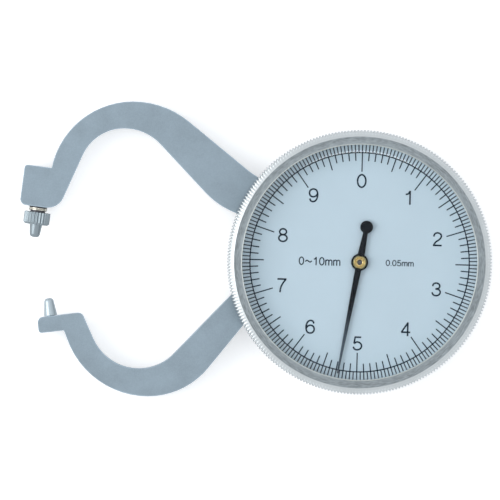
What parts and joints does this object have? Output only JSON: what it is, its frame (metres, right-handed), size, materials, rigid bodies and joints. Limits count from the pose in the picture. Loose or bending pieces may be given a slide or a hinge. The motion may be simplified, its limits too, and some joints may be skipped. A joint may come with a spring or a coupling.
{
  "type": "dial caliper gauge",
  "caption": "Dial caliper gauge with two curved arms and facing anvils; a swinging arm turns the pointer over a round dial with a turning bezel.",
  "frame": {"origin": "centre of the back plate's back face, on the dial axis, with the gauge lying on its back", "axes": "+Z along the dial axis towards the crystal, +Y towards the top of the picture, the arms reach out to -X"},
  "size_m": [0.1037, 0.065, 0.0181],
  "materials": {
    "case_metal": "plain satin grey",
    "satin_chrome": "satin plated, faintly mottled",
    "bright_chrome": "bright plated",
    "steel": "bare turned steel",
    "brass": "turned",
    "dial_paint": "pale blue-grey matt paint on aluminium",
    "pointer_black": "black lacquer on aluminium",
    "spacer_plastic": "pale grey matt",
    "crystal_clear": "clear, polished"
  },
  "bodies": {
    "frame": {"back_plate": "case_metal", "case_ring": "case_metal", "back_screw_1": "steel", "back_screw_2": "steel", "back_screw_3": "steel", "back_screw_4": "steel", "fixed_arm": "satin_chrome", "arm_screw_1": "steel", "arm_screw_2": "steel", "pivot_pin": "steel", "pivot_nut": "steel", "friction_washer": "steel", "movement_base": "brass", "bridge": "brass", "centre_bush_lower": "brass", "centre_bush_upper": "brass", "intermediate_bush_lower": "brass", "intermediate_bush_upper": "brass", "takeup_bush_lower": "brass", "takeup_bush_upper": "brass", "pillar_1": "brass", "pillar_2": "brass", "pillar_3": "brass", "pillar_sleeve_1": "brass", "pillar_sleeve_2": "brass", "pillar_sleeve_3": "brass", "pillar_screw_1": "steel", "pillar_screw_2": "steel", "pillar_screw_3": "steel", "bridge_screw_1": "steel", "bridge_screw_2": "steel", "bridge_screw_3": "steel", "hairspring": "steel", "hairspring_stud": "brass", "bezel_spring": "steel"},
    "jaw": {"moving_arm": "satin_chrome", "pivot_bush": "brass", "sector_plate": "brass", "sector_screw_1": "steel", "sector_screw_2": "steel", "lower_anvil": "bright_chrome"},
    "bezel": {"bezel": "bright_chrome", "dial_clamp_ring": "steel", "dial_plate": "dial_paint", "crystal_spacer": "spacer_plastic", "crystal": "crystal_clear"},
    "pointer": {"centre_arbor": "steel", "pointer": "pointer_black", "pointer_cap": "brass"},
    "intermediate": {"intermediate_arbor": "steel", "intermediate_wheel": "brass"},
    "takeup": {"takeup_arbor": "steel", "takeup_wheel": "brass"},
    "anvil_carrier": {"anvil_friction_ring": "steel"},
    "anvil": {"anvil_spindle": "bright_chrome"}
  },
  "joints": [
    {"name": "jaw_swing", "type": "hinge", "parent": "frame", "child": "jaw", "pos_m": [-0.01619, 0.01087, 0.0048], "axis": [0, 0, 1], "range_deg": [-14, 1.8]},
    {"name": "intermediate_spin", "type": "hinge", "parent": "frame", "child": "intermediate", "pos_m": [-0.0029, 0.00853, 0.0081], "axis": [0, 0, 1], "range_deg": [-99, 14]},
    {"name": "takeup_spin", "type": "hinge", "parent": "frame", "child": "takeup", "pos_m": [0.0069, -0.00579, 0.0095], "axis": [0, 0, 1], "range_deg": [-99, 14]},
    {"name": "pointer_spin", "type": "hinge", "parent": "frame", "child": "pointer", "pos_m": [0, 0, 0.0095], "axis": [0, 0, 1], "range_deg": [-64, 492]},
    {"name": "bezel_turn", "type": "hinge", "parent": "frame", "child": "bezel", "pos_m": [0, 0, 0.0135], "axis": [0, 0, 1], "continuous": true},
    {"name": "anvil_slide", "type": "slide", "parent": "frame", "child": "anvil_carrier", "axis": [0.1305, 0.9914, 0], "range_m": [0, 0.0008]},
    {"name": "anvil_spin", "type": "hinge", "parent": "anvil_carrier", "child": "anvil", "pos_m": [-0.07075, 0.01223, 0.0048], "axis": [0.1305, 0.9914, 0], "range_deg": [-6, 582]}
  ],
  "couplings": [
    {"joint": "intermediate_spin", "follows": "jaw_swing", "ratio": 7},
    {"joint": "takeup_spin", "follows": "jaw_swing", "ratio": 7},
    {"joint": "pointer_spin", "follows": "jaw_swing", "ratio": -35},
    {"joint": "anvil_spin", "follows": "anvil_slide", "rad_per_m": 12566}
  ]
}
